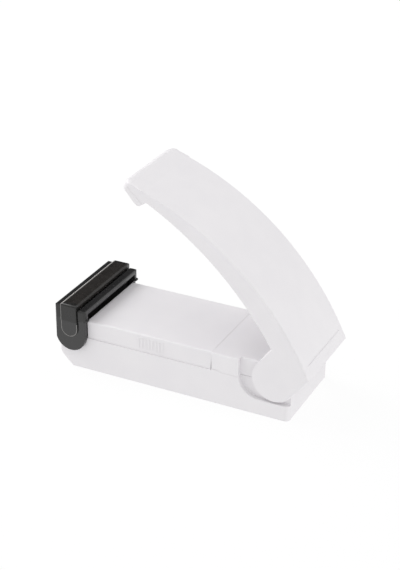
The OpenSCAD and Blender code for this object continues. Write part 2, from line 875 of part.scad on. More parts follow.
module tongue_2d(low) {
    translate([bar_x, low + bar_w / 2]) circle(bar_w / 2);
    translate([bar_front, low + bar_w / 2]) square([bar_w, bar_bottom + 1 - low - bar_w / 2]);
}

module heater_bar() {
    step_z = deck_z - 0.8;
    color(black) difference() {
        union() {
            along_y(-bar_end, bar_end) bar_2d(tape_t);
            intersection() {
                both_sides() {
                    along_y(bar_end - eps, tongue_out) bar_2d(0);
                    along_y(tongue_in, tongue_out - 0.35) tongue_2d(tongue_h);
                    along_y(tongue_in, tongue_out) intersection() {
                        tongue_2d(tongue_h);
                        translate([-big, step_z]) square([2 * big, big]);
                    }
                }
                linear_extrude(big) rounded_2d([bar_front, -tongue_out], [bar_rear, tongue_out], 0.5);
                along_x(bar_front, bar_rear) hood_2d(tongue_out, 0, bar_z, end_r);
            }
            both_sides() translate([bar_x, tongue_in + eps, peg_z]) rotate([90, 0, 0])
                cylinder(r = peg_r, h = 1.3);
        }
        box([bar_x - strip_w / 2, -ribbon_half + 1, groove_z], [bar_x + strip_w / 2, ribbon_half - 1, bar_z]);
        box([bar_x - ribbon_w / 2 - 0.05, -ribbon_half - 0.05, bar_top - ribbon_t],
            [bar_x + ribbon_w / 2 + 0.05, ribbon_half + 0.05, bar_z - tape_t + eps]);
        both_sides() {
            box([bar_x - ribbon_w / 2 - 0.05, ribbon_half - ribbon_t - 0.05, bar_bottom - 1],
                [bar_x + ribbon_w / 2 + 0.05, ribbon_half + 0.05, bar_top + eps]);
            translate([bar_spring_x, bar_spring_y, bar_bottom - eps])
                cylinder(r = bar_spring_r + bar_wire / 2 + 0.3, h = bar_pocket);
            rivet_place() translate([0, 0, bar_bottom - eps]) cylinder(r = rivet_r + 0.05, h = rivet_depth + 0.1);
        }
    }
}

module insulation_strip() {
    color("Ivory") box([bar_x - strip_w / 2 + 0.05, 1.05 - ribbon_half, groove_z],
        [bar_x + strip_w / 2 - 0.05, ribbon_half - 1.05, groove_z + strip_t]);
}

module heating_ribbon() {
    color("SlateGray") {
        box([bar_x - ribbon_w / 2, -ribbon_half, bar_top - ribbon_t], [bar_x + ribbon_w / 2, ribbon_half, bar_top]);
        both_sides() box([bar_x - ribbon_w / 2, ribbon_half - ribbon_t, bar_bottom],
            [bar_x + ribbon_w / 2, ribbon_half, bar_top]);
    }
}

module nonstick_tape() {
    tape_half = bar_end - 0.05;
    color("Black") along_y(-tape_half, tape_half) difference() {
        bar_2d(0);
        bar_2d(tape_t);
        translate([bar_front - 1, 0]) square([bar_w + 2, bar_z - tape_fold]);
    }
}

// Terminals: a strip under the bar and a blade that reaches down to the contact's arm
module ribbon_terminals() {
    blade_z = arm_z + contact_t + 0.2 + bar_travel;
    color(brass) both_sides() difference() {
        union() {
            box([terminal_x[0], cell_y - 1, bar_bottom - contact_t], [terminal_x[1], ribbon_half + 0.3, bar_bottom]);
            box([terminal_x[0], ribbon_half - 1.2, bar_bottom - contact_t],
                [bar_x + ribbon_w / 2, ribbon_half + 0.3, bar_bottom]);
            box([terminal_x[0], cell_y - 1, blade_z], [terminal_x[1], cell_y - 1 + contact_t, bar_bottom]);
        }
        rivet_place() cylinder(r = rivet_r + 0.05, h = big);
    }
}

module rivet_place() {
    translate([(terminal_x[0] + terminal_x[1]) / 2, ribbon_half - 4, 0]) children();
}

module terminal_rivets() {
    head_z = bar_bottom - contact_t - rivet_head;
    color(brass) both_sides() rivet_place() {
        translate([0, 0, head_z]) cylinder(r = rivet_r + 0.25, h = rivet_head);
        translate([0, 0, head_z]) cylinder(r = rivet_r, h = rivet_head + contact_t + rivet_depth);
    }
}

// Bar springs: from the deck up into the bar's pockets
function bar_spring_path(side) =
    let (
        turns = 5,
        z0 = deck_top + bar_wire / 2 + 0.05,
        z1 = bar_bottom + bar_pocket - bar_wire / 2 - 0.05,
        count = turns * rings
    )
    [
        for (i = [0 : count])
            let (a = 360 * i / rings)
            [
                bar_spring_x + bar_spring_r * cos(a),
                side * bar_spring_y + bar_spring_r * sin(a),
                z0 + (z1 - z0) * i / count
            ]
    ];

module bar_springs() {
    echo(bar_spring_gap = least_gap(bar_spring_path(1), bar_wire));
    color(steel) for (side = [-1, 1]) wire(bar_spring_path(side), bar_wire / 2, [0, 0, 1]);
}

// Cells, with the left one's nub to the front and the right one's to the rear
module cell() {
    rotate([0, 90, 0]) {
        translate([0, 0, nub_len]) cylinder(r = cell_d / 2, h = cell_len - nub_len);
        cylinder(r = nub_d / 2, h = cell_len / 2);
    }
}

module cell_left() {
    color("DarkSlateGray") translate([bay_front + contact_t, -cell_y, cell_h]) cell();
}

module cell_right() {
    color("DarkSlateGray") translate([bay_rear - contact_t, cell_y, cell_h]) rotate([0, 0, 180]) cell();
}

// Battery contact: plate on the bulkhead and an arm over it to the nose
module contact_sheet(y) {
    arm_front = bar_front + 0.4;
    plate_low = cell_h - contact_h / 2;
    color(brass) along_y(y - contact_w / 2, y + contact_w / 2) polygon([
        [arm_front, arm_z], [bay_front, arm_z], [bay_front, plate_low],
        [bay_front + contact_t, plate_low], [bay_front + contact_t, arm_z + contact_t], [arm_front, arm_z + contact_t]
    ]);
}

module positive_contact() {
    contact_sheet(-cell_y);
}

module negative_contact() {
    contact_sheet(cell_y);
}

module series_link() {
    reach = cell_y + contact_w / 2;
    color(brass) box([bay_rear - contact_t, -reach, cell_h - contact_h / 2],
        [bay_rear, reach, cell_h + contact_h / 2]);
}

// Battery spring: a cone of turns that narrows from its contact to the cell
function cell_spring_path(x, y, dir) =
    let (
        turns = 3,
        run = spring_len - cell_wire - 0.1,
        count = turns * rings
    )
    [
        for (i = [0 : count])
            let (a = 360 * i / rings, r = spring_wide + (spring_narrow - spring_wide) * i / count)
            [
                x + dir * (cell_wire / 2 + 0.05 + run * i / count),
                y + r * cos(a),
                cell_h + r * sin(a)
            ]
    ];

module cell_spring(x, y, dir) {
    path = cell_spring_path(x, y, dir);
    echo(cell_spring_gap = least_gap(path, cell_wire));
    color(steel) wire(path, cell_wire / 2, [dir, 0, 0]);
}

module negative_spring() {
    cell_spring(bay_front + contact_t, cell_y, 1);
}

module link_spring() {
    cell_spring(bay_rear - contact_t, -cell_y, -1);
}

// Screws from the underside
module case_screws() {
    slot_w = 0.7;
    head_h = 1.6;
    head_z = head_sink - head_h;
    color(steel) screw_places() difference() {
        union() {
            translate([0, 0, head_z]) cylinder(r = screw_head_d / 2, h = head_h - eps);
            translate([0, 0, head_z]) cylinder(r = screw_d / 2, h = screw_len - head_z);
        }
        for (a = [0, 90]) rotate([0, 0, a]) translate([0, 0, head_z])
            cube([screw_head_d * 0.55, slot_w, 1.2], center = true);
    }
}

base_shell();
rear_cover();
head_frame();
case_screws();
cell_left();
cell_right();
positive_contact();
negative_contact();
negative_spring();
series_link();
link_spring();
bar_springs();
torsion_spring();
lever_shell();
jaw_block();
presser_pad();
hinge_pin();
heater_bar();
insulation_strip();
heating_ribbon();
nonstick_tape();
ribbon_terminals();
terminal_rivets();
battery_cover();
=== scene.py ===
"""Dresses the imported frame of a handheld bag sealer.

The mouldings are satin white, the sealing head is black, and the springs and contacts are bright metal.
"""

import json
import logging
import math
from collections.abc import Callable
from dataclasses import dataclass
from enum import Enum

import bmesh
import bpy
from mathutils import Matrix, Vector
from mathutils.bvhtree import BVHTree


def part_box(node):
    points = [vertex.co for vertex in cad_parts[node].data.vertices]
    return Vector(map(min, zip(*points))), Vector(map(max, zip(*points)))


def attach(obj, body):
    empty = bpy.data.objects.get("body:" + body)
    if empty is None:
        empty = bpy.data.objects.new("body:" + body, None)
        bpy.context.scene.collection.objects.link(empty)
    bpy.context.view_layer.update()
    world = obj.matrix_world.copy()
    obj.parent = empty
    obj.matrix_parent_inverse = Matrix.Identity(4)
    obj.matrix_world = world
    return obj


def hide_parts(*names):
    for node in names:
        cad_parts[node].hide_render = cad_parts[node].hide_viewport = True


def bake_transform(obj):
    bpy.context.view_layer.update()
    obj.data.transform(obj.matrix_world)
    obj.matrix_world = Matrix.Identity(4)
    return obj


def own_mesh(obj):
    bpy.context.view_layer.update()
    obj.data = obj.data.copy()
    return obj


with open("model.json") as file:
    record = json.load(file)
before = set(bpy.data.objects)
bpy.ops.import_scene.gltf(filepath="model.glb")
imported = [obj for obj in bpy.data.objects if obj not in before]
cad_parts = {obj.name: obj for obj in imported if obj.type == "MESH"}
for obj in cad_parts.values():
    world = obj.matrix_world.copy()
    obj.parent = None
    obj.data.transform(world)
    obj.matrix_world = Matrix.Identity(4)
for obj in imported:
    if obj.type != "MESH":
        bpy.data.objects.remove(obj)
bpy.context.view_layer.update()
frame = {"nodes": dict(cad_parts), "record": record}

LOG = logging.getLogger("bag_sealer")
MM = 0.001
Colour = tuple[float, float, float]
Place = tuple[float, float, float]
EdgeTest = Callable[[bmesh.types.BMEdge], bool]
FaceTest = Callable[[bmesh.types.BMFace], bool]
Reshaping = Callable[[bmesh.types.BMesh], None]


def joint(name: str) -> dict:
    """Gives a joint of the record by its name."""
    return next(row for row in frame["record"]["behaviour"]["joints"] if row["name"] == name)


class Body(Enum):
    """Bodies of the frame that move against each other."""

    BASE = "base"
    LEVER = "lever"
    BAR = "bar"
    COVER = "cover"


class Weave(Enum):
    """Directions of the threads in a woven tape."""

    WARP = "X"
    WEFT = "Y"


class ShaderGraph:
    """Node tree of one material, with helpers for the textures that the finishes share."""

    dark_end = 0.3
    bright_end = 0.7
    band_at_one = math.pi / 10

    def __init__(self, name: str) -> None:
        """Starts a material with an untouched shader.

        Args:
            name: Name of the material.
        """
        self.material = bpy.data.materials.new(name)
        self.material.use_nodes = True
        self.tree = self.material.node_tree
        self.shader = self.tree.nodes["Principled BSDF"]
        self.place = self.tree.nodes.new("ShaderNodeTexCoord").outputs["Object"]

    def set(self, **values: float | Colour) -> None:
        """Sets sockets of the shader that are the same all over the surface.

        Args:
            values: Socket names in lower case with underscores, and their values.
        """
        for name, value in values.items():
            socket = self.shader.inputs[name.replace("_", " ").title().replace("Ior", "IOR")]
            socket.default_value = (*value, 1.0) if isinstance(value, tuple) else value

    def stretched(self, factors: Place) -> bpy.types.NodeSocket:
        """Gives object coordinates with another scale along each axis.

        Args:
            factors: Scale along X, Y and Z.

        Returns:
            The scaled coordinates.
        """
        node = self.tree.nodes.new("ShaderNodeMapping")
        node.inputs["Scale"].default_value = factors
        self.tree.links.new(self.place, node.inputs["Vector"])
        return node.outputs["Vector"]

    def noise(
        self, size_mm: float, detail: float = 2.0, place: bpy.types.NodeSocket | None = None
    ) -> bpy.types.NodeSocket:
        """Adds a noise texture.

        Args:
            size_mm: Width of one blotch or grain.
            detail: Octaves of finer noise.
            place: Coordinates, or none for plain object coordinates.

        Returns:
            The noise, from 0 to 1.
        """
        node = self.tree.nodes.new("ShaderNodeTexNoise")
        node.inputs["Scale"].default_value = 1 / (size_mm * MM)
        node.inputs["Detail"].default_value = detail
        self.tree.links.new(place or self.place, node.inputs["Vector"])
        return node.outputs["Fac"]

    def threads(self, pitch_mm: float, weave: Weave) -> bpy.types.NodeSocket:
        """Adds even bands, as of parallel threads.

        Args:
            pitch_mm: Distance from one thread to the next.
            weave: Axis that the threads are counted along.

        Returns:
            The bands, from 0 to 1.
        """
        node = self.tree.nodes.new("ShaderNodeTexWave")
        node.bands_direction = weave.value
        node.inputs["Scale"].default_value = self.band_at_one / (pitch_mm * MM)
        self.tree.links.new(self.place, node.inputs["Vector"])
        return node.outputs["Fac"]

    def span(self, factor: bpy.types.NodeSocket, low: float, high: float) -> bpy.types.NodeSocket:
        """Maps a texture's middle range to a range of values.

        Args:
            factor: Texture from 0 to 1.
            low: Value at the dark end.
            high: Value at the bright end.

        Returns:
            The mapped value.
        """
        node = self.tree.nodes.new("ShaderNodeMapRange")
        node.inputs["From Min"].default_value = self.dark_end
        node.inputs["From Max"].default_value = self.bright_end
        node.inputs["To Min"].default_value = low
        node.inputs["To Max"].default_value = high
        self.tree.links.new(factor, node.inputs["Value"])
        return node.outputs["Result"]

    def tint(self, factor: bpy.types.NodeSocket, deep: Colour, pale: Colour) -> None:
        """Colours the surface between two tints.

        Args:
            factor: Texture from 0 to 1.
            deep: Colour at the dark end.
            pale: Colour at the bright end.
        """
        node = self.tree.nodes.new("ShaderNodeMix")
        node.data_type = "RGBA"
        colours = [socket for socket in node.inputs if socket.type == "RGBA"]
        colours[0].default_value = (*deep, 1.0)
        colours[1].default_value = (*pale, 1.0)
        self.tree.links.new(self.span(factor, 0.0, 1.0), node.inputs["Factor"])
        shown = next(socket for socket in node.outputs if socket.type == "RGBA")
        self.tree.links.new(shown, self.shader.inputs["Base Color"])

    def roughen(self, factor: bpy.types.NodeSocket, low: float, high: float) -> None:
        """Varies the roughness over the surface, from its smoother to its duller places."""
        self.tree.links.new(self.span(factor, low, high), self.shader.inputs["Roughness"])

    def emboss(self, height: bpy.types.NodeSocket, depth_mm: float, strength: float) -> None:
        """Adds a relief on top of what is already there.

        Args:
            height: Texture from 0 to 1.
            depth_mm: Depth of the relief.
            strength: Share of the relief that shows.
        """
        node = self.tree.nodes.new("ShaderNodeBump")
        node.inputs["Strength"].default_value = strength
        node.inputs["Distance"].default_value = depth_mm * MM
        self.tree.links.new(height, node.inputs["Height"])
        below = self.shader.inputs["Normal"].links
        if below:
            self.tree.links.new(below[0].from_socket, node.inputs["Normal"])
        self.tree.links.new(node.outputs["Normal"], self.shader.inputs["Normal"])


@dataclass(frozen=True)
class MouldedPlastic:
    """Moulded plastic with a fine eroded grain, faint clouds of colour, shallow sinks and a satin sheen."""

    name: str
    deep: Colour
    pale: Colour
    smooth: float
    dull: float
    grain_mm: float = 0.35
    grain_depth_mm: float = 0.02
    ior: float = 1.5
    grain_share: float = 0.35
    cloud_mm: float = 14.0
    sheen_mm: float = 3.5
    sink_mm: float = 9.0
    sink_depth_mm: float = 0.05
    sink_share: float = 0.08

    def material(self) -> bpy.types.Material:
        """Makes the material.

        Returns:
            The new material.
        """
        graph = ShaderGraph(self.name)
        graph.set(ior=self.ior)
        graph.tint(graph.noise(self.cloud_mm, detail=3), self.deep, self.pale)
        graph.roughen(graph.noise(self.sheen_mm, detail=4), self.smooth, self.dull)
        graph.emboss(graph.noise(self.grain_mm, detail=3), self.grain_depth_mm, self.grain_share)
        graph.emboss(graph.noise(self.sink_mm, detail=1), self.sink_depth_mm, self.sink_share)
        return graph.material


@dataclass(frozen=True)
class WornMetal:
    """Drawn or rolled metal, with fine lines along one axis and faint stains."""

    name: str
    deep: Colour
    pale: Colour
    smooth: float
    dull: float
    lines: Place = (1.0, 12.0, 12.0)
    line_mm: float = 1.2
    line_depth_mm: float = 0.008
    line_share: float = 0.3
    stain_mm: float = 2.5

    def material(self) -> bpy.types.Material:
        """Makes the material.

        Returns:
            The new material.
        """
        graph = ShaderGraph(self.name)
        graph.set(metallic=1.0)
        drawn = graph.noise(self.line_mm, 4, graph.stretched(self.lines))
        graph.tint(graph.noise(self.stain_mm, detail=3), self.deep, self.pale)
        graph.roughen(drawn, self.smooth, self.dull)
        graph.emboss(drawn, self.line_depth_mm, self.line_share)
        return graph.material


@dataclass(frozen=True)
class WovenTape:
    """Coated glass cloth: crossed threads under a dark, waxy coat."""

    name: str = "dark_woven_tape"
    deep: Colour = (0.017, 0.0152, 0.014)
    pale: Colour = (0.026, 0.0232, 0.0215)
    smooth: float = 0.24
    dull: float = 0.3
    ior: float = 1.38
    cloud_mm: float = 4.0
    sheen_mm: float = 5.0
    pitch_mm: float = 0.45
    thread_depth_mm: float = 0.02
    thread_share: float = 0.015

    def material(self) -> bpy.types.Material:
        """Makes the material.

        Returns:
            The new material.
        """
        graph = ShaderGraph(self.name)
        graph.set(ior=self.ior)
        graph.tint(graph.noise(self.cloud_mm, detail=3), self.deep, self.pale)
        graph.roughen(graph.noise(self.sheen_mm, detail=2), self.smooth, self.dull)
        for weave in Weave:
            graph.emboss(graph.threads(self.pitch_mm, weave), self.thread_depth_mm, self.thread_share)
        return graph.material


@dataclass(frozen=True)
class CellJacket:
    """Plain dark jacket of a dry cell under a thin gloss."""

    name: str = "cell_jacket"
    deep: Colour = (0.03, 0.045, 0.055)
    pale: Colour = (0.045, 0.06, 0.07)
    smooth: float = 0.25
    dull: float = 0.38
    ior: float = 1.5
    gloss: float = 0.4
    gloss_roughness: float = 0.15
    cloud_mm: float = 6.0
    sheen_mm: float = 2.0

    def material(self) -> bpy.types.Material:
        """Makes the material.

        Returns:
            The new material.
        """
        graph = ShaderGraph(self.name)
        graph.set(ior=self.ior, coat_weight=self.gloss, coat_roughness=self.gloss_roughness)
        graph.tint(graph.noise(self.cloud_mm, detail=2), self.deep, self.pale)
        graph.roughen(graph.noise(self.sheen_mm, detail=3), self.smooth, self.dull)
        return graph.material


@dataclass(frozen=True)
class Finishes:
    """All finishes of the sealer."""

    white: MouldedPlastic = MouldedPlastic(
        "white_moulding", (0.787, 0.77, 0.79), (0.812, 0.795, 0.811), smooth=0.4, dull=0.5
    )
    black: MouldedPlastic = MouldedPlastic(
        "black_moulding",
        deep=(0.015, 0.0148, 0.0152),
        pale=(0.021, 0.0206, 0.021),
        smooth=0.16,
        dull=0.23,
        grain_depth_mm=0.008,
        ior=1.62,
    )
    caps: MouldedPlastic = MouldedPlastic(
        "black_caps",
        deep=(0.015, 0.0145, 0.0142),
        pale=(0.02, 0.0194, 0.019),
        smooth=0.2,
        dull=0.28,
        grain_depth_mm=0.008,
    )
    # Darker black for the head's inside: painted shade in the well under the ribs, on a rougher, less glossy
    # surface.
    well: MouldedPlastic = MouldedPlastic(
        "black_painted_shade",
        deep=(0.006, 0.006, 0.006),
        pale=(0.009, 0.009, 0.009),
        smooth=0.6,
        dull=0.7,
        grain_depth_mm=0.008,
        ior=1.35,
    )
    # Pale grey for a painted highlight: the glint along the front rib's rounded edge beside the bar.
    painted_highlight: MouldedPlastic = MouldedPlastic(
        "painted_highlight_line", (0.6, 0.58, 0.55), (0.68, 0.66, 0.64), smooth=0.3, dull=0.4
    )
    # Mid grey for a painted reflection of the floor in the tongues' rounded edges.
    painted_dim_highlight: MouldedPlastic = MouldedPlastic(
        "painted_highlight_on_black", (0.19, 0.185, 0.18), (0.23, 0.225, 0.22), smooth=0.4, dull=0.5
    )
    silicone: MouldedPlastic = MouldedPlastic(
        "grey_silicone", (0.5, 0.5, 0.48), (0.56, 0.555, 0.54), smooth=0.5, dull=0.65, grain_mm=0.6
    )
    paper: MouldedPlastic = MouldedPlastic(
        "fibre_paper", (0.5, 0.44, 0.33), (0.6, 0.54, 0.42), smooth=0.7, dull=0.85, grain_mm=0.2
    )
    steel: WornMetal = WornMetal(
        "plated_steel", (0.5, 0.5, 0.51), (0.64, 0.64, 0.65), smooth=0.18, dull=0.34
    )
    ribbon: WornMetal = WornMetal(
        "rolled_ribbon", (0.3, 0.28, 0.27), (0.42, 0.4, 0.39), smooth=0.25, dull=0.4
    )
    brass: WornMetal = WornMetal(
        "sheet_brass", (0.6, 0.43, 0.18), (0.74, 0.56, 0.27), smooth=0.2, dull=0.36
    )
    tape: WovenTape = WovenTape()
    jacket: CellJacket = CellJacket()


class Workshop:
    """Tools that the sub-assemblies share: merged copies of solids, softened edges, coils and dressing."""

    merge = 0.002 * MM
    lift = 0.05 * MM
    touch = 0.1 * MM
    inside = 0.15 * MM
    flat_deg = 0.6
    sharp_deg = 42.0
    round_steps = 3
    wire_steps = 3
    facing_down = -0.5
    rim_mm = 0.12
    hairline_mm = 0.01

    def __init__(self) -> None:
        """Prepares the finishes and a search tree of all solids at rest."""
        finishes = Finishes()
        self.materials = {name: getattr(finishes, name).material() for name in finishes.__dataclass_fields__}
        points: list[Vector] = []
        faces: list[list[int]] = []
        for solid in frame["nodes"].values():
            start = len(points)
            points.extend(vertex.co.copy() for vertex in solid.data.vertices)
            faces.extend([start + i for i in face.vertices] for face in solid.data.polygons)
        self.solids = BVHTree.FromPolygons(points, faces)

    def merged(self, node: str) -> bmesh.types.BMesh:
        """Copies a node's solid and joins its loose triangles into whole faces.

        Args:
            node: Name of the node.

        Returns:
            The joined copy.
        """
        copy = bmesh.new()
        copy.from_mesh(frame["nodes"][node].data)
        bmesh.ops.remove_doubles(copy, verts=copy.verts[:], dist=self.merge)
        bmesh.ops.dissolve_limit(
            copy, angle_limit=math.radians(self.flat_deg), verts=copy.verts[:], edges=copy.edges[:]
        )
        return copy

    def open_to_view(self, edge: bmesh.types.BMEdge) -> bool:
        """Says if an edge can be seen from outside.

        Args:
            edge: Edge between two faces.

        Returns:
            True if nothing lies over the edge.
        """
        normal = (edge.link_faces[0].normal + edge.link_faces[1].normal).normalized()
        middle = (edge.verts[0].co + edge.verts[1].co) / 2
        return self.solids.ray_cast(middle + normal * self.lift, normal)[0] is None

    def pressed(self, edge: bmesh.types.BMEdge) -> bool:
        """Says if a face beside an edge lies against another solid.

        Args:
            edge: Edge between two faces.

        Returns:
            True if one of the faces is closed off by a neighbour.
        """
        middle = (edge.verts[0].co + edge.verts[1].co) / 2
        first, second = (face.normal for face in edge.link_faces)
        for normal, other in ((first, second), (second, first)):
            inward = (normal * normal.dot(other) - other).normalized()
            start = middle + inward * self.inside + normal * self.merge
            if self.solids.ray_cast(start, normal, self.touch)[0] is not None:
                return True
        return False

    def roomy(self, edge: bmesh.types.BMEdge, room: float) -> bool:
        """Says if both faces beside an edge are wider than the room that is needed."""
        return all(
            face.calc_area() / max(side.calc_length() for side in face.edges) > room
            for face in edge.link_faces
        )

    def soften(self, copy: bmesh.types.BMesh, width_mm: float, wanted: EdgeTest) -> None:
        """Rounds the sharp edges that are wanted.

        Args:
            copy: Mesh to change.
            width_mm: Set-back of the rounding on each face.
            wanted: Test that an edge has to pass.
        """
        copy.normal_update()
        edges = [
            edge
            for edge in copy.edges
            if edge.is_manifold and edge.calc_face_angle(0.0) > math.radians(self.sharp_deg) and wanted(edge)
        ]
        bmesh.ops.bevel(
            copy,
            geom=edges,
            offset=width_mm * MM,
            offset_type="OFFSET",
            segments=self.round_steps,
            profile=0.5,
            affect="EDGES",
            clamp_overlap=False,
            material=-1,
        )

    def wire(self, points: list[Vector], thick_mm: float) -> bmesh.types.BMesh:
        """Draws a round wire along a path.

        Args:
            points: Points of the wire's middle, in metres.
            thick_mm: Diameter of the wire.

        Returns:
            The closed wire.
        """
        curve = bpy.data.curves.new("path", "CURVE")
        curve.dimensions = "3D"
        curve.bevel_depth = thick_mm * MM / 2
        curve.bevel_resolution = self.wire_steps
        curve.use_fill_caps = True
        spline = curve.splines.new("POLY")
        spline.points.add(len(points) - 1)
        for knot, point in zip(spline.points, points):
            knot.co = (*point, 1.0)
        drawn = bpy.data.objects.new("path", curve)
        bpy.context.scene.collection.objects.link(drawn)
        whole = bpy.context.evaluated_depsgraph_get()
        mesh = bpy.data.meshes.new_from_object(drawn.evaluated_get(whole))
        shape = bmesh.new()
        shape.from_mesh(mesh)
        bpy.data.objects.remove(drawn)
        bpy.data.curves.remove(curve)
        bpy.data.meshes.remove(mesh)
        bmesh.ops.remove_doubles(shape, verts=shape.verts[:], dist=self.merge)
        bmesh.ops.recalc_face_normals(shape, faces=shape.faces[:])
        return shape

    def piece(self, name: str, shape: bmesh.types.BMesh, finish: str) -> bpy.types.Object:
        """Makes an object of a finished mesh. Edges marked as seams are shaded smoothly.

        Args:
            name: Name of the piece.
            shape: Mesh, which is freed.
            finish: Name of the finish.

        Returns:
            The new object.
        """
        for face in shape.faces:
            face.smooth = True
        for edge in shape.edges:
            flat = not edge.is_manifold or edge.calc_face_angle(0.0) < math.radians(self.sharp_deg)
            edge.smooth = edge.seam or flat
        mesh = bpy.data.meshes.new(name)
        shape.to_mesh(mesh)
        shape.free()
        mesh.materials.clear()
        mesh.materials.append(self.materials[finish])
        made = bpy.data.objects.new(name, mesh)
        bpy.context.scene.collection.objects.link(made)
        even = made.modifiers.new("even_shading", "WEIGHTED_NORMAL")
        even.keep_sharp = True
        return made

    def stand_for(self, made: bpy.types.Object, node: str, body: Body, slot: str) -> None:
        """Puts a piece in the place of a node.

        Args:
            made: The piece.
            node: Node that it replaces.
            body: Body that it rides on.
            slot: Material slot of the record; not used.
        """
        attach(made, body.value)
        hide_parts(node)
        LOG.info("%s stands for %s on %s", made.name, node, body.value)

    def on_rim(self, vertex: bmesh.types.BMVert, parting_mm: float) -> bool:
        """Says if a vertex is on a rim just over a parting line."""
        return 0 < vertex.co.z / MM - parting_mm < self.rim_mm

    def rounded(
        self,
        node: str,
        width_mm: float,
        finish: str,
        body: Body,
        slot: str,
        room_share: float = 2.2,
        seams: bool = True,
        parting_mm: float | None = None,
        reshape: Reshaping | None = None,
    ) -> bpy.types.Object:
        """Replaces a rigid node by a copy with softened edges.

        Args:
            node: Name of the node.
            width_mm: Set-back of the rounding.
            finish: Name of the finish.
            body: Body that the node rides on.
            slot: Material slot of the record; not used.
            room_share: Least width of a face beside a rounding, in set-backs.
            seams: True to round the edges at narrow seams as well.
            parting_mm: Height of a parting line that the node's rim is brought down on, if it has one.
            reshape: Change to make to the copy before its edges are rounded.

        Returns:
            The new piece.
        """
        copy = self.merged(node)
        if reshape:
            reshape(copy)
        room = room_share * width_mm * MM

        def wanted(edge: bmesh.types.BMEdge) -> bool:
            """Says if an edge is to be rounded."""
            under = sum(face.normal.z for face in edge.link_faces) < self.facing_down
            if edge.seam or parting_mm and under:
                return False
            return self.open_to_view(edge) and self.roomy(edge, room) and (seams or not self.pressed(edge))

        self.soften(copy, width_mm, wanted)
        if parting_mm:
            for vertex in copy.verts:
                if self.on_rim(vertex, parting_mm):
                    vertex.co.z = (parting_mm + self.hairline_mm) * MM
        made = self.piece(f"{node}_soft", copy, finish)
        self.stand_for(made, node, body, slot)
        return made

    def dress(self, node: str, finish: str) -> None:
        """Gives a node that stays as it is its finish.

        Args:
            node: Name of the node.
            finish: Name of the finish.
        """
        mesh = frame["nodes"][node].data
        mesh.materials.clear()
        mesh.materials.append(self.materials[finish])
        LOG.info("%s keeps its solid", node)


@dataclass(frozen=True)
class Stretch:
    """One stretch of a wound wire, with an even change of radius and height along it."""

    turns: float
    radius_mm: float
    rise_mm: float


@dataclass(frozen=True)
class Winding:
    """Wire wound round an axis in stretches, each starting where the last one ended."""

    axis: Vector
    first: Vector
    radius_mm: float
    stretches: tuple[Stretch, ...]
    steps: int = 28

    def points(self, foot: Vector) -> list[Vector]:
        """Lays out the wire's middle.

        Args:
            foot: Point on the axis, level with the wire's first end.

        Returns:
            Points along the wire.
        """
        across = self.axis.cross(self.first)
        turn, radius, height = 0.0, self.radius_mm, 0.0
        path = [foot + self.first * radius * MM]
        for stretch in self.stretches:
            count = max(2, round(self.steps * stretch.turns))
            for i in range(1, count + 1):
                share = i / count
                angle = 2 * math.pi * (turn + stretch.turns * share)
                reach = radius + (stretch.radius_mm - radius) * share
                arm = self.first * math.cos(angle) + across * math.sin(angle)
                path.append(foot + (arm * reach + self.axis * (height + stretch.rise_mm * share)) * MM)
            turn += stretch.turns
            radius = stretch.radius_mm
            height += stretch.rise_mm
        return path


@dataclass
class Housing:
    """White base with its rear cover and the screws under it."""

    shop: Workshop
    edge_mm: float = 0.34
    cover_edge_mm: float = 0.25
    screw_edge_mm: float = 0.12
    parting_mm: float = 15.4
    cheek_mm: float = 18.4
    recess_gap_mm: float = 0.08
    slack_mm: float = 0.02

    def build(self) -> None:
        """Makes the housing's pieces."""
        self.shop.rounded("base_shell", self.edge_mm, "white", Body.BASE, "white_plastic")
        self.shop.rounded(
            "rear_cover",
            self.cover_edge_mm,
            "white",
            Body.BASE,
            "white_plastic",
            parting_mm=self.parting_mm,
            reshape=self.open_recess,
        )
        self.shop.rounded("case_screws", self.screw_edge_mm, "steel", Body.BASE, "steel")

    def open_recess(self, copy: bmesh.types.BMesh) -> None:
        """Lifts the rear cover's rim in the ear recesses, where the parting line shows most.

        Args:
            copy: Mesh of the rear cover.
        """
        for vertex in copy.verts:
            on_cheek = abs(abs(vertex.co.y) / MM - self.cheek_mm) < self.slack_mm
            if on_cheek and self.shop.on_rim(vertex, self.parting_mm):
                vertex.co.z += self.recess_gap_mm * MM


@dataclass
class BatteryCover:
    """Sliding cover over the cells."""

    shop: Workshop
    edge_mm: float = 0.2
    parting_mm: float = 15.4
    side_mm: float = 22.3
    end_gap_mm: float = 0.4

    def build(self) -> None:
        """Makes the cover."""
        self.shop.rounded(
            "battery_cover",
            self.edge_mm,
            "white",
            Body.COVER,
            "white_plastic",
            parting_mm=self.parting_mm,
            reshape=self.open_seam,
        )

    def open_seam(self, copy: bmesh.types.BMesh) -> None:
        """Draws the sides of the cover's rear end back a little, so that the seam there shows.

        Args:
            copy: Mesh of the cover.
        """
        end = max(vertex.co.x for vertex in copy.verts if vertex.co.z / MM > self.side_mm)
        for vertex in copy.verts:
            if vertex.co.z / MM < self.side_mm and abs(vertex.co.x - end) < self.shop.merge:
                vertex.co.x -= self.end_gap_mm * MM


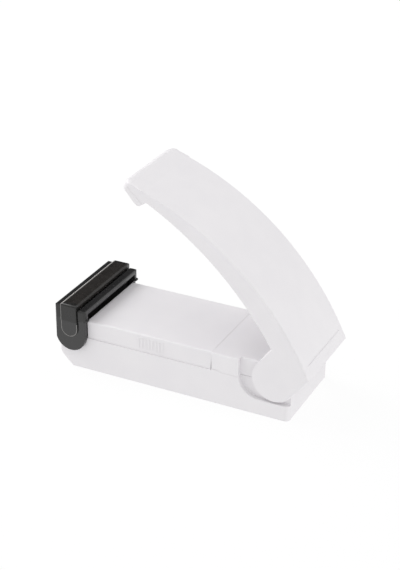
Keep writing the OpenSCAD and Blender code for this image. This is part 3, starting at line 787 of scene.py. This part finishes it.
@dataclass
class Lever:
    """Curved lever with its jaw, pad and hinge pin."""

    shop: Workshop
    shell_edge_mm: float = 0.5
    jaw_edge_mm: float = 0.25
    pad_edge_mm: float = 0.25
    open_deg: float = 38.0
    half_width_mm: float = 20.7
    tip_mm: float = -51.4
    corner_mm: float = 2.8
    bead_mm: float = 2.4
    bead_height_mm: float = 33.616
    crown_mm: Place = (-2.2855, -84.293, 128.361)
    long_edge_mm: float = 0.8
    plain_mm: float = -43.2
    tail_mm: float = 57.3
    tail_round_mm: float = 1.1
    half_corner_deg: float = 45.0
    tail_step_deg: float = 9.0
    fade_mm: float = 6.0
    cut_mm: float = 0.35
    margin_mm: float = 0.1
    slack_mm: float = 0.02
    flat_mm: float = 0.01
    side_share: float = 0.75
    least_facing: float = 0.3

    def build(self) -> None:
        """Makes the lever's pieces."""
        for node, edge_mm in (("lever_shell", self.shell_edge_mm), ("jaw_block", self.jaw_edge_mm)):
            made = self.shop.rounded(
                node, edge_mm, "white", Body.LEVER, "white_plastic", seams=False, reshape=self.reshape
            )
            self.even_long_edges(made)
        self.shop.rounded("presser_pad", self.pad_edge_mm, "silicone", Body.LEVER, "silicone")
        self.shop.dress("hinge_pin", "steel")

    def reshape(self, copy: bmesh.types.BMesh) -> None:
        """Marks the rounded long edges, rounds the tail, and leads the bead smoothly round the tip's corners.

        Args:
            copy: Mesh of a piece of the opened lever.
        """
        closed = self.closing()
        bmesh.ops.transform(copy, matrix=closed, verts=copy.verts[:])
        for edge in copy.edges:
            edge.seam = all(self.on_long_edge(vertex.co / MM) for vertex in edge.verts)
        self.round_tail(copy)
        self.cut_corners(copy)
        for vertex in copy.verts:
            vertex.co.z += self.corner_shift(vertex.co / MM) * MM
        bmesh.ops.transform(copy, matrix=closed.inverted(), verts=copy.verts[:])
        copy.normal_update()

    def closing(self) -> Matrix:
        """Gives the turn about the hinge from the opened to the closed lever."""
        pivot = Matrix.Translation(Vector(joint("lever_hinge")["pos_m"]))
        return pivot @ Matrix.Rotation(math.radians(-self.open_deg), 4, "Y") @ pivot.inverted()

    def on_long_edge(self, point: Vector) -> bool:
        """Says if a point lies on the rounding of one of the closed lever's long edges.

        Args:
            point: Point in millimetres.

        Returns:
            True on a rounding.
        """
        x, z, radius = self.crown_mm
        depth = radius - math.hypot(point.x - x, point.z - z)
        band = self.long_edge_mm + self.slack_mm
        along = self.plain_mm < point.x < self.tail_mm - self.tail_round_mm
        return along and depth < band and abs(point.y) > self.half_width_mm - band

    def even_long_edges(self, made: bpy.types.Object) -> None:
        """Shades the long edges' roundings as even rounds, whatever way their faces are split.

        Args:
            made: Piece of the opened lever.
        """
        x, z, radius = self.crown_mm
        closed = self.closing()
        opened = closed.inverted().to_3x3()
        shaded = made.evaluated_get(bpy.context.evaluated_depsgraph_get()).to_mesh()
        normals = [corner.vector.copy() for corner in shaded.corner_normals]
        for face in made.data.polygons:
            for i in face.loop_indices:
                point = closed @ made.data.vertices[made.data.loops[i].vertex_index].co / MM
                if not self.on_long_edge(point):
                    continue
                out = Vector((point.x - x, 0, point.z - z))
                across = abs(point.y) - self.half_width_mm + self.long_edge_mm
                rise = out.length - radius + self.long_edge_mm
                round_normal = out.normalized() * max(rise, 0.0)
                round_normal.y = math.copysign(max(across, 0.0), point.y)
                round_normal = opened @ round_normal.normalized()
                if round_normal.dot(face.normal) > self.least_facing:
                    normals[i] = round_normal
        made.modifiers.clear()
        made.data.normals_split_custom_set(normals)

    def cut(
        self,
        copy: bmesh.types.BMesh,
        lengths_mm: list[float],
        widths_mm: list[float],
        near: FaceTest,
    ) -> None:
        """Cuts some faces of the closed lever across and along, finely enough to be bent.

        Args:
            copy: Mesh of a piece of the closed lever.
            lengths_mm: Places of the cuts along the lever.
            widths_mm: Places of the cuts on both sides of its middle.
            near: Test for the faces to cut.
        """
        planes = [(Vector((x, 0, 0)), Vector((1, 0, 0))) for x in lengths_mm]
        planes += [(Vector((0, side * y, 0)), Vector((0, 1, 0))) for y in widths_mm for side in (-1, 1)]
        for place, normal in planes:
            faces = [face for face in copy.faces if near(face)]
            parts = set(faces)
            for face in faces:
                parts.update(face.edges, face.verts)
            bmesh.ops.bisect_plane(
                copy, geom=list(parts), dist=self.shop.merge, plane_co=place * MM, plane_no=normal
            )

    def cut_corners(self, copy: bmesh.types.BMesh) -> None:
        """Cuts the faces at the tip's corners.

        Args:
            copy: Mesh of a piece of the closed lever.
        """
        reach = self.corner_mm + self.fade_mm
        end = self.tip_mm + reach
        flank = self.half_width_mm - self.corner_mm
        lengths = [self.tip_mm + i * self.cut_mm for i in range(1, int(reach / self.cut_mm) + 1)]
        widths = [flank + i * self.cut_mm for i in range(round(self.corner_mm / self.cut_mm) + 1)]

        def near(face: bmesh.types.BMFace) -> bool:
            """Says if a face reaches a corner of the tip."""
            side = flank - self.margin_mm
            return any(v.co.x / MM < end and abs(v.co.y) / MM > side for v in face.verts)

        self.cut(copy, lengths, widths, near)

    def round_tail(self, copy: bmesh.types.BMesh) -> None:
        """Rounds the two upright corners at the lever's tail.

        Args:
            copy: Mesh of a piece of the closed lever.
        """
        reach = self.tail_round_mm
        start, flank = self.tail_mm - reach, self.half_width_mm - reach
        count = round(self.half_corner_deg / self.tail_step_deg)
        steps = [reach * math.tan(math.radians(self.tail_step_deg * i)) for i in range(count)]

        def near(face: bmesh.types.BMFace) -> bool:
            """Says if a face reaches a corner of the tail."""
            end, side = start + self.margin_mm, flank + self.margin_mm
            return any(v.co.x / MM > end and abs(v.co.y) / MM > side for v in face.verts)

        self.cut(copy, [start + step for step in steps], [flank + step for step in steps], near)
        for vertex in copy.verts:
            ahead, side = vertex.co.x / MM - start, abs(vertex.co.y) / MM - flank
            if min(ahead, side) > 0 and math.hypot(ahead, side) > reach:
                share = reach / math.hypot(ahead, side)
                vertex.co.x = (start + ahead * share) * MM
                vertex.co.y = math.copysign((flank + side * share) * MM, vertex.co.y)

    def bead_drop(self, wall_mm: float) -> float:
        """Gives how far the bead's surface lies below its crest, at a distance from the tip's outer wall."""
        inside = self.bead_mm - min(max(wall_mm, 0.0), self.bead_mm)
        return self.bead_mm - math.sqrt(self.bead_mm**2 - inside**2)

    def corner_shift(self, point: Vector) -> float:
        """Gives the change in height that bends the bead round a corner of the closed lever's tip.

        Args:
            point: Point in millimetres.

        Returns:
            The change in millimetres.
        """
        side = abs(point.y) - self.half_width_mm + self.corner_mm
        behind = point.x - self.tip_mm - self.corner_mm
        if side <= 0 or behind >= self.fade_mm:
            return 0.0
        ahead = max(-behind, 0.0)
        turned = math.hypot(ahead, side)
        rise = self.bead_mm - self.bead_drop(self.corner_mm - ahead)
        if rise < self.flat_mm:
            return 0.0
        late = max(behind, 0.0) / self.fade_mm
        weight = (1 - self.side_share * (side / turned) ** 2) * (1 - late * late * (3 - 2 * late))
        change = max(rise - self.bead_mm + self.bead_drop(self.corner_mm - turned), 0.0)
        share = (point.z - self.bead_height_mm) / rise
        return -change * weight * min(max(share, -1.0), 1.0)


@dataclass
class SealingHead:
    """Black head with its sprung heater bar."""

    shop: Workshop
    frame_edge_mm: float = 0.3
    bar_edge_mm: float = 0.45
    bar_room: float = 1.15
    tape_edge_mm: float = 0.1
    step_mm: float = 23.2
    # Sizes and places of the painted highlight lines along the bar and round its tongues.
    highlight_line_mm: float = 0.36
    highlight_gap_mm: float = 0.05
    highlight_crest_mm: Place = (-0.12, -0.5, 0.45)
    highlight_shoulder_mm: Place = (-0.04, -0.22, -0.4)
    highlight_step_mm: float = 0.1
    highlight_upper_mm: float = 0.2
    highlight_lower_mm: float = 0.36
    tongue_steps: int = 18
    highlight_tail_mm: float = 2.5
    cap_mm: float = 20.6
    deck_mm: float = 25.5
    wire_mm: float = 0.4
    coil_mm: float = 1.3
    dead_turns: float = 0.8
    live_turns: float = 3.8
    dead_pitch: float = 1.02

    def build(self) -> None:
        """Makes the head's pieces."""
        self.wind_springs()
        head = self.shop.rounded("head_frame", self.frame_edge_mm, "black", Body.BASE, "black_plastic")
        bar = self.shop.rounded(
            "heater_bar", self.bar_edge_mm, "black", Body.BAR, "black_plastic", self.bar_room, seams=False
        )
        for made in (head, bar):
            self.dull_caps_and_shade_well(made)
        self.shop.rounded("nonstick_tape", self.tape_edge_mm, "tape", Body.BAR, "tape", seams=False)
        self.paint_edge_highlights()
        self.shop.dress("insulation_strip", "paper")
        self.shop.dress("heating_ribbon", "ribbon")
        for node in ("ribbon_terminals", "terminal_rivets"):
            self.shop.dress(node, "brass")

    def dull_caps_and_shade_well(self, made: bpy.types.Object) -> None:
        """Gives the head's upper ends a duller finish than the lobes, and paints its inside a darker black as
        painted shade.

        Args:
            made: Black piece.
        """
        for finish in ("caps", "well"):
            made.data.materials.append(self.shop.materials[finish])
        for face in made.data.polygons:
            outside = abs(face.center.y) > self.cap_mm * MM
            if outside and face.center.z > self.step_mm * MM:
                face.material_index = 1
            # Faces inside the head below the deck take the darker black: painted shade in the recess.
            elif not outside and face.center.z < self.deck_mm * MM:
                face.material_index = 2

    def paint_edge_highlights(self) -> None:
        """Lays painted highlight lines along the bar's front side and round both of its tongues, where their
        rounded edges glint.
        """
        low, high = (Vector(corner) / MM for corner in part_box("heater_bar"))
        front, end = low.x, high.y
        radius = (high.x - low.x) / 2
        reach = radius - self.highlight_gap_mm
        middle = Vector((front + radius, end - self.highlight_lower_mm, low.z + radius))
        rib = Vector((front, end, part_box("head_frame")[1][2] / MM))
        crest = rib + Vector(self.highlight_crest_mm)
        tongue = [crest, rib + Vector(self.highlight_shoulder_mm)]
        tongue.append(Vector((front, end - self.highlight_upper_mm, self.step_mm + self.highlight_step_mm)))
        tongue.append(Vector((front, end - self.highlight_lower_mm, self.step_mm - self.highlight_step_mm)))
        for i in range(self.tongue_steps + 1):
            turn = math.pi + math.pi * i / self.tongue_steps
            tongue.append(middle + Vector((math.cos(turn), 0, math.sin(turn))) * reach)
        tongue.append(tongue[-1] + Vector((0, 0, self.highlight_tail_mm)))
        self.lay_highlight_line("painted_highlight_edge", [crest, self.mirrored(crest)], "painted_highlight")
        self.lay_highlight_line("painted_highlight_far", tongue, "painted_dim_highlight")
        self.lay_highlight_line("painted_highlight_near", [self.mirrored(point) for point in tongue], "painted_dim_highlight")

    def mirrored(self, point: Vector) -> Vector:
        """Gives the point opposite on the other side of the sealer."""
        return Vector((point.x, -point.y, point.z))

    def lay_highlight_line(self, name: str, path_mm: list[Vector], finish: str) -> None:
        """Lays one stretch of painted highlight line.

        Args:
            name: Name of the stretch.
            path_mm: Points along it, in millimetres.
            finish: Name of the finish.
        """
        made = self.shop.piece(name, self.shop.wire([point * MM for point in path_mm], self.highlight_line_mm), finish)
        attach(made, Body.BAR.value)
        LOG.info("%s is laid on %s", made.name, Body.BAR.value)

    def wind_springs(self) -> None:
        """Winds the two springs under the bar, with closed ends."""
        low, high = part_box("bar_springs")
        reach = (self.coil_mm + self.wire_mm / 2) * MM
        rise = (high[2] - low[2]) / MM - self.wire_mm
        dead = self.dead_turns * self.wire_mm * self.dead_pitch
        closed = Stretch(self.dead_turns, self.coil_mm, dead)
        live = Stretch(self.live_turns, self.coil_mm, rise - 2 * dead)
        winding = Winding(Vector((0, 0, 1)), Vector((1, 0, 0)), self.coil_mm, (closed, live, closed))
        both = bmesh.new()
        for y in (low[1] + reach, high[1] - reach):
            foot = Vector(((low[0] + high[0]) / 2, y, low[2] + self.wire_mm * MM / 2))
            one = self.shop.wire(winding.points(foot), self.wire_mm)
            mesh = bpy.data.meshes.new("one_spring")
            one.to_mesh(mesh)
            one.free()
            both.from_mesh(mesh)
            bpy.data.meshes.remove(mesh)
        made = self.shop.piece("bar_springs_wound", both, "steel")
        self.shop.stand_for(made, "bar_springs", Body.BASE, "steel")
        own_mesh(made)


@dataclass
class HingeSpring:
    """Torsion spring on the hinge pin, from a rib in the base to the lever's web."""

    shop: Workshop
    wire_mm: float = 0.8
    coil_mm: float = 2.6
    turns: float = 6.25
    coil_half_mm: float = 4.05
    fixed_leg_mm: Place = (-13.5, 4.05, -5.0)
    tip_share: float = 0.3

    def build(self) -> None:
        """Winds the spring."""
        pivot = Vector(joint("lever_hinge")["pos_m"])
        half = self.coil_half_mm * MM
        rise = Stretch(self.turns, self.coil_mm, 2 * self.coil_half_mm)
        winding = Winding(Vector((0, 1, 0)), Vector((1, 0, 0)), self.coil_mm, (rise,))
        path = winding.points(pivot - Vector((0, half, 0)))
        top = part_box("torsion_spring")[1][2] - self.wire_mm * MM * self.tip_share
        tip = Vector((path[0].x, path[0].y, top))
        made = self.shop.piece(
            "torsion_spring_wound",
            self.shop.wire([tip, *path, pivot + Vector(self.fixed_leg_mm) * MM], self.wire_mm),
            "steel",
        )
        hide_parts("torsion_spring")
        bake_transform(made)
        LOG.info("%s stands for torsion_spring between base and lever", made.name)


@dataclass
class BatteryBay:
    """Cells with their contacts and springs."""

    shop: Workshop
    wire_mm: float = 0.6
    wide_mm: float = 4.8
    narrow_mm: float = 2.0
    inner_mm: float = 1.75
    flat_turns: float = 0.75
    cone_turns: float = 2.75
    end_turns: float = 0.5

    def build(self) -> None:
        """Dresses what lies in the bay."""
        self.wind_cone("negative_spring", Vector((1, 0, 0)))
        self.wind_cone("link_spring", Vector((-1, 0, 0)))
        for node in ("cell_left", "cell_right"):
            self.shop.dress(node, "jacket")
        for node in ("positive_contact", "negative_contact", "series_link"):
            self.shop.dress(node, "brass")

    def wind_cone(self, node: str, axis: Vector) -> None:
        """Winds a battery spring that narrows from its contact to its cell.

        Args:
            node: Name of the spring's node.
            axis: Direction from the contact to the cell.
        """
        low, high = (Vector(corner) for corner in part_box(node))
        rise = (high.x - low.x) / MM - self.wire_mm
        start = low.x if axis.x > 0 else high.x
        reach = (self.wide_mm + self.wire_mm / 2) * MM
        foot = Vector((start, high.y - reach, (low.z + high.z) / 2)) + axis * self.wire_mm * MM / 2
        flat = Stretch(self.flat_turns, self.wide_mm, 0.0)
        cone = Stretch(self.cone_turns, self.narrow_mm, rise)
        end = Stretch(self.end_turns, self.inner_mm, 0.0)
        winding = Winding(axis, Vector((0, 1, 0)), self.wide_mm, (flat, cone, end))
        made = self.shop.piece(f"{node}_wound", self.shop.wire(winding.points(foot), self.wire_mm), "steel")
        self.shop.stand_for(made, node, Body.BASE, "steel")


@dataclass(frozen=True)
class Softbox:
    """Square lamp that faces the sealer."""

    name: str
    towards: Place
    distance: float
    side: float
    level: float


@dataclass(frozen=True)
class Flag:
    """Dark patch in the sky that black surfaces mirror."""

    towards: Place
    outer: float
    inner: float
    tone: float


@dataclass
class Studio:
    """Pale floor, soft light and the camera at the photographed view."""

    azimuth_deg: float = 26.154
    elevation_deg: float = 27.318
    roll_deg: float = 0.367
    camera_place: Place = (0.2464, -0.4946, 0.3262)
    focal_share: float = 1482.15 / 570
    sensor_mm: float = 36.0
    near_clip: float = 0.01
    floor_half: float = 6.0
    floor_glow: float = 0.92
    floor_colour: Colour = (0.05, 0.05, 0.05)
    floor_roughness: float = 0.9
    white: Colour = (1.0, 1.0, 1.0)
    sky: float = 0.9
    lamp_aim: Place = (0.0, 0.0, 0.04)
    flags: tuple[Flag, ...] = (
        Flag((-0.39, 0.80, 0.46), 0.87, 0.94, 0.05),
        Flag((-0.39, -0.7, 0.6), 0.94, 0.97, 0.1),
    )
    lamps: tuple[Softbox, ...] = (
        Softbox("left", (-0.75, 0.15, 0.62), 1.3, 0.9, 0.45),
        Softbox("low_left", (-0.85, -0.3, 0.35), 1.3, 1.2, 0.15),
        Softbox("right", (0.75, -0.1, 0.65), 1.3, 1.0, 0.12),
    )

    def build(self) -> None:
        """Makes the floor, the lights and the camera."""
        self.lay_floor()
        self.light()
        self.set_camera()

    def lay_floor(self) -> None:
        """Lays a wide pale floor under the sealer."""
        plane = bmesh.new()
        bmesh.ops.create_grid(plane, x_segments=2, y_segments=2, size=self.floor_half)
        mesh = bpy.data.meshes.new("floor")
        plane.to_mesh(mesh)
        plane.free()
        graph = ShaderGraph("pale_floor")
        graph.set(base_color=self.floor_colour, roughness=self.floor_roughness)
        graph.set(emission_color=self.white, emission_strength=self.floor_glow)
        mesh.materials.append(graph.material)
        floor = bpy.data.objects.new("floor", mesh)
        bpy.context.scene.collection.objects.link(floor)

    def flagged_sky(self) -> bpy.types.World:
        """Makes an even sky with dark patches, so that the black tops stay dark.

        Returns:
            The new world.
        """
        world = bpy.data.worlds.new("soft_sky")
        world.use_nodes = True
        nodes, links = world.node_tree.nodes, world.node_tree.links
        shade = nodes["Background"].inputs
        shade["Color"].default_value = (*self.white, 1.0)
        place = nodes.new("ShaderNodeTexCoord").outputs["Generated"]
        level = nodes.new("ShaderNodeValue")
        level.outputs[0].default_value = self.sky
        bright = level.outputs[0]
        for flag in self.flags:
            facing = nodes.new("ShaderNodeVectorMath")
            facing.operation = "DOT_PRODUCT"
            facing.inputs[1].default_value = Vector(flag.towards).normalized()
            links.new(place, facing.inputs[0])
            tone = nodes.new("ShaderNodeMapRange")
            tone.interpolation_type = "SMOOTHSTEP"
            tone.inputs["From Min"].default_value = flag.outer
            tone.inputs["From Max"].default_value = flag.inner
            tone.inputs["To Min"].default_value = 1.0
            tone.inputs["To Max"].default_value = flag.tone
            links.new(facing.outputs["Value"], tone.inputs["Value"])
            both = nodes.new("ShaderNodeMath")
            both.operation = "MULTIPLY"
            links.new(bright, both.inputs[0])
            links.new(tone.outputs["Result"], both.inputs[1])
            bright = both.outputs[0]
        links.new(bright, shade["Strength"])
        return world

    def light(self) -> None:
        """Sets the sky and soft lamps."""
        bpy.context.scene.world = self.flagged_sky()
        for box in self.lamps:
            lamp = bpy.data.lights.new(box.name, "AREA")
            lamp.size = box.side
            lamp.energy = box.level * math.pi**2 * box.distance**2
            hung = bpy.data.objects.new(box.name, lamp)
            away = Vector(box.towards).normalized()
            hung.location = away * box.distance + Vector(self.lamp_aim)
            hung.rotation_euler = away.to_track_quat("Z", "Y").to_euler()
            bpy.context.scene.collection.objects.link(hung)

    def set_camera(self) -> None:
        """Places the camera and keeps plain tones."""
        azimuth = math.radians(self.azimuth_deg)
        elevation = math.radians(self.elevation_deg)
        roll = math.radians(self.roll_deg)
        flat = math.cos(elevation)
        back = Vector((math.sin(azimuth) * flat, -math.cos(azimuth) * flat, math.sin(elevation)))
        level = Vector((math.cos(azimuth), math.sin(azimuth), 0.0))
        plumb = back.cross(level)
        right = level * math.cos(roll) + plumb * math.sin(roll)
        up = back.cross(right)
        lens = bpy.data.cameras.new("view")
        lens.sensor_width = self.sensor_mm
        lens.lens = self.focal_share * self.sensor_mm
        lens.clip_start = self.near_clip
        camera = bpy.data.objects.new("view", lens)
        turn = Matrix((right, up, back)).transposed().to_4x4()
        camera.matrix_world = Matrix.Translation(self.camera_place) @ turn
        bpy.context.scene.collection.objects.link(camera)
        bpy.context.scene.camera = camera
        bpy.context.scene.view_settings.view_transform = "Standard"


def main() -> None:
    """Builds the sub-assemblies in order."""
    logging.basicConfig(level=logging.INFO, format="%(message)s")
    shop = Workshop()
    Housing(shop).build()
    BatteryCover(shop).build()
    Lever(shop).build()
    SealingHead(shop).build()
    HingeSpring(shop).build()
    BatteryBay(shop).build()
    Studio().build()


if __name__ == "__main__":
    main()
